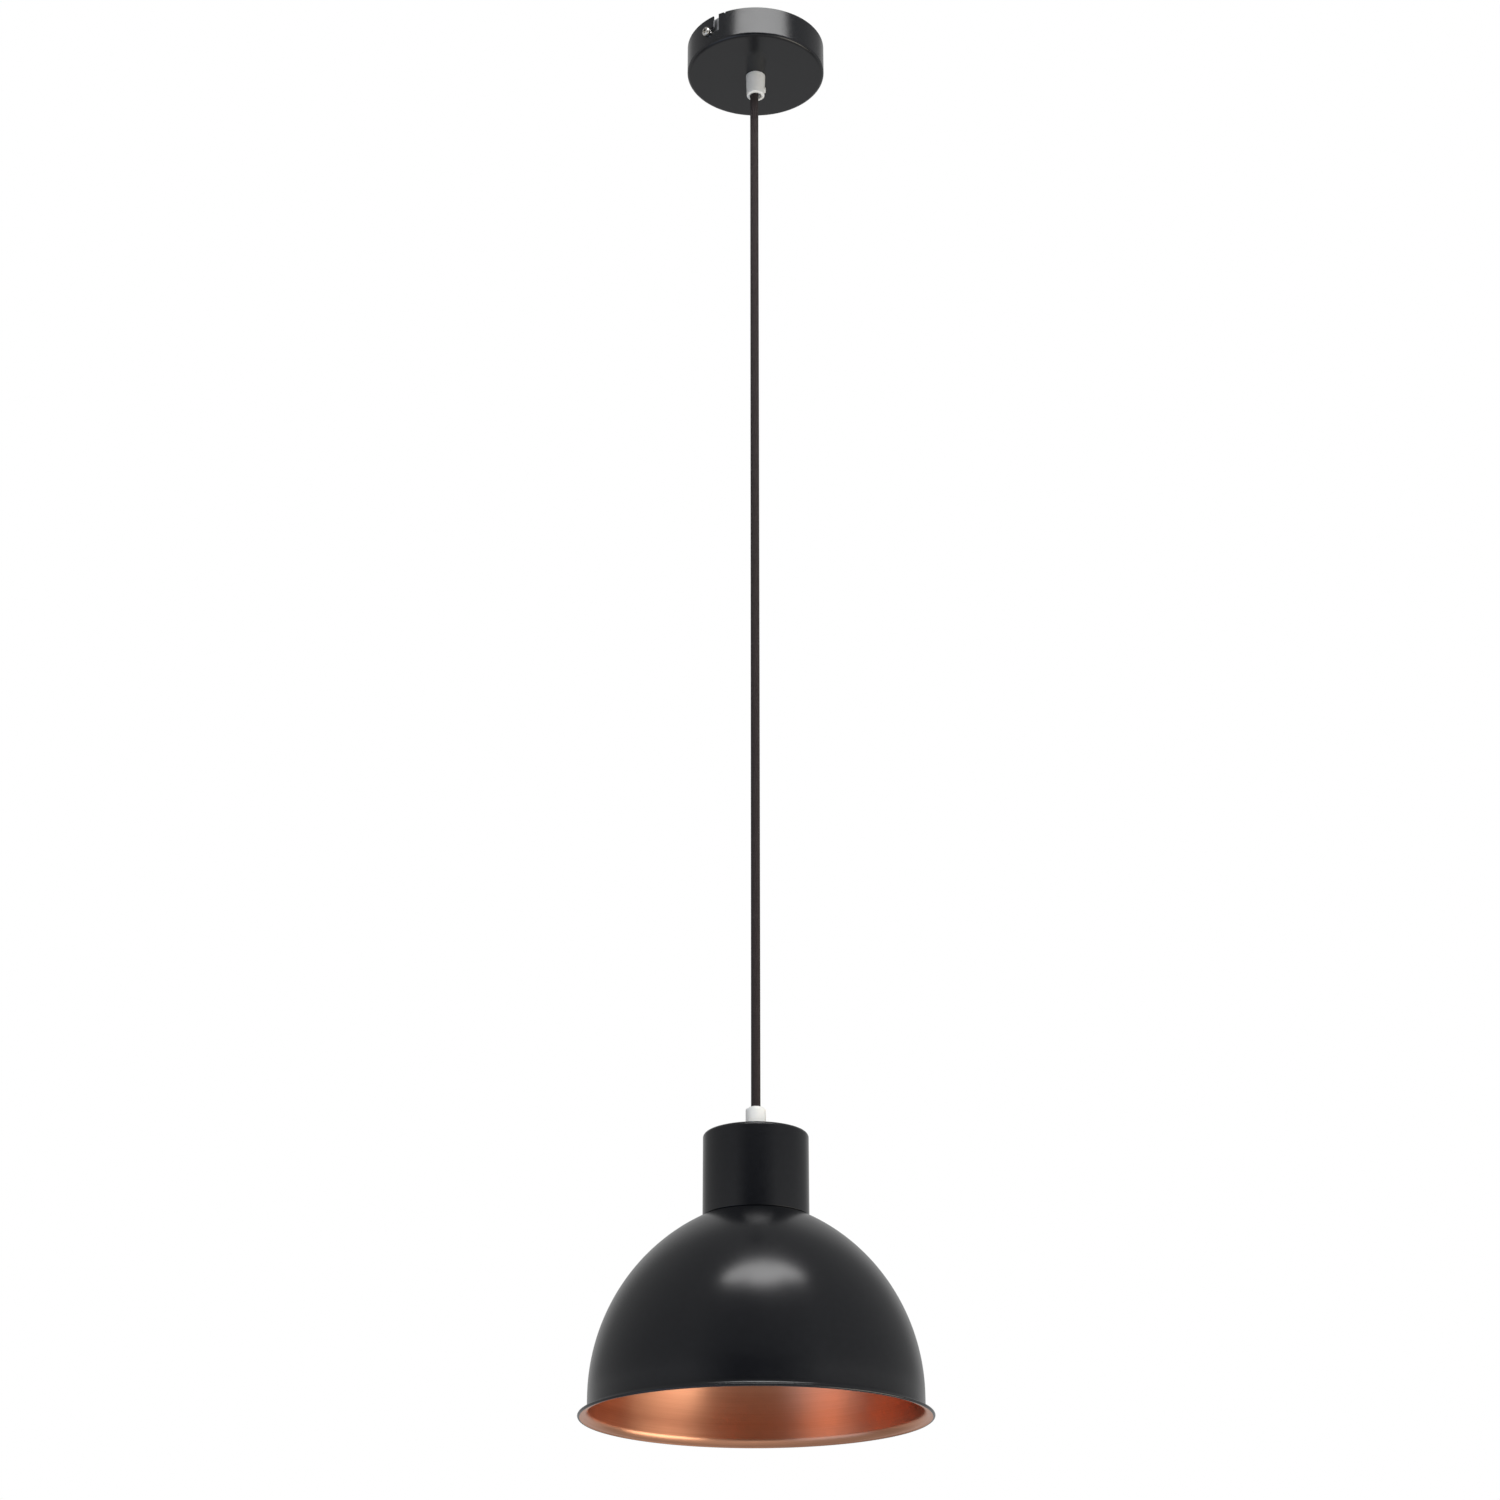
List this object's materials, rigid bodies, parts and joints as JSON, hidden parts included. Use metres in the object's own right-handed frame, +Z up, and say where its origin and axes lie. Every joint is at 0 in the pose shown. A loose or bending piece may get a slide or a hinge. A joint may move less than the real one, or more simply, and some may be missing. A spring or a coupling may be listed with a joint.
{
  "type": "pendant ceiling light",
  "caption": "Pendant light with a round canopy, a long textile cord, a short neck and a dome shade, black outside and copper inside.",
  "frame": {"origin": "on the ceiling plane, at the centre of the mounting bracket's top face", "axes": "+Z up towards the ceiling, with the light hanging down -Z; X along the bracket through the two side screws; the terminal block on +Y"},
  "size_m": [0.2158, 0.2158, 0.9988],
  "materials": {
    "zinc_steel": "bright zinc-plated steel",
    "nickel_steel": "nickel-plated steel",
    "white_nylon": "smooth natural white nylon",
    "brass": "bare turned brass",
    "black_paint": "satin black powder coat",
    "black_copper": "satin black powder coat outside, brushed copper inside",
    "textile_cord": "dark brown-black braided textile",
    "core_brown": "brown PVC core insulation",
    "core_blue": "blue PVC core insulation",
    "black_holder": "black thermoset moulding",
    "ceramic": "glazed white ceramic",
    "bronze": "spring bronze strip"
  },
  "bodies": {
    "mount_plate": {"mounting_bracket": "zinc_steel", "bracket_screws": "nickel_steel", "terminal_block": "white_nylon", "terminal_inserts": "brass", "terminal_screws": "zinc_steel", "terminal_block_screw": "zinc_steel", "live_wire_upper": "core_brown", "neutral_wire_upper": "core_blue"},
    "canopy": {"canopy_cup": "black_paint", "canopy_cord_grip": "white_nylon", "canopy_grip_screw": "white_nylon", "canopy_grip_nut": "zinc_steel", "canopy_grip_washer": "zinc_steel", "cord_tail_upper": "textile_cord"},
    "cord_top": {"cord_bend": "textile_cord"},
    "cord": {"cord_run": "textile_cord"},
    "lamp": {"cord_tail_lower": "textile_cord", "shade_cord_grip": "white_nylon", "shade_grip_screw": "white_nylon", "neck_cup": "black_paint", "shade": "black_copper", "shade_ring": "black_holder", "lampholder_cap": "black_holder", "lampholder_shell": "black_holder", "contact_carrier": "ceramic", "screw_shell": "brass", "centre_contact": "bronze", "side_contact": "bronze", "holder_terminal_screws": "nickel_steel", "live_wire_lower": "core_brown", "neutral_wire_lower": "core_blue"}
  },
  "joints": [
    {"name": "canopy_twist", "type": "hinge", "parent": "mount_plate", "child": "canopy", "pos_m": [0, 0, 0], "axis": [0, 0, 1], "range_deg": [-8.9, 0]},
    {"name": "swing_side", "type": "hinge", "parent": "canopy", "child": "cord_top", "pos_m": [-0.00069, 0.00072, -0.0425], "axis": [0, 1, 0], "range_deg": [-25, 25]},
    {"name": "swing_front", "type": "hinge", "parent": "cord_top", "child": "cord", "pos_m": [-0.00069, 0.00072, -0.0875], "axis": [1, 0, 0], "range_deg": [-25, 25]},
    {"name": "lamp_twist", "type": "hinge", "parent": "cord", "child": "lamp", "pos_m": [-0.00069, 0.00072, -0.80531], "axis": [0, 0, 1], "range_deg": [-180, 180]}
  ]
}
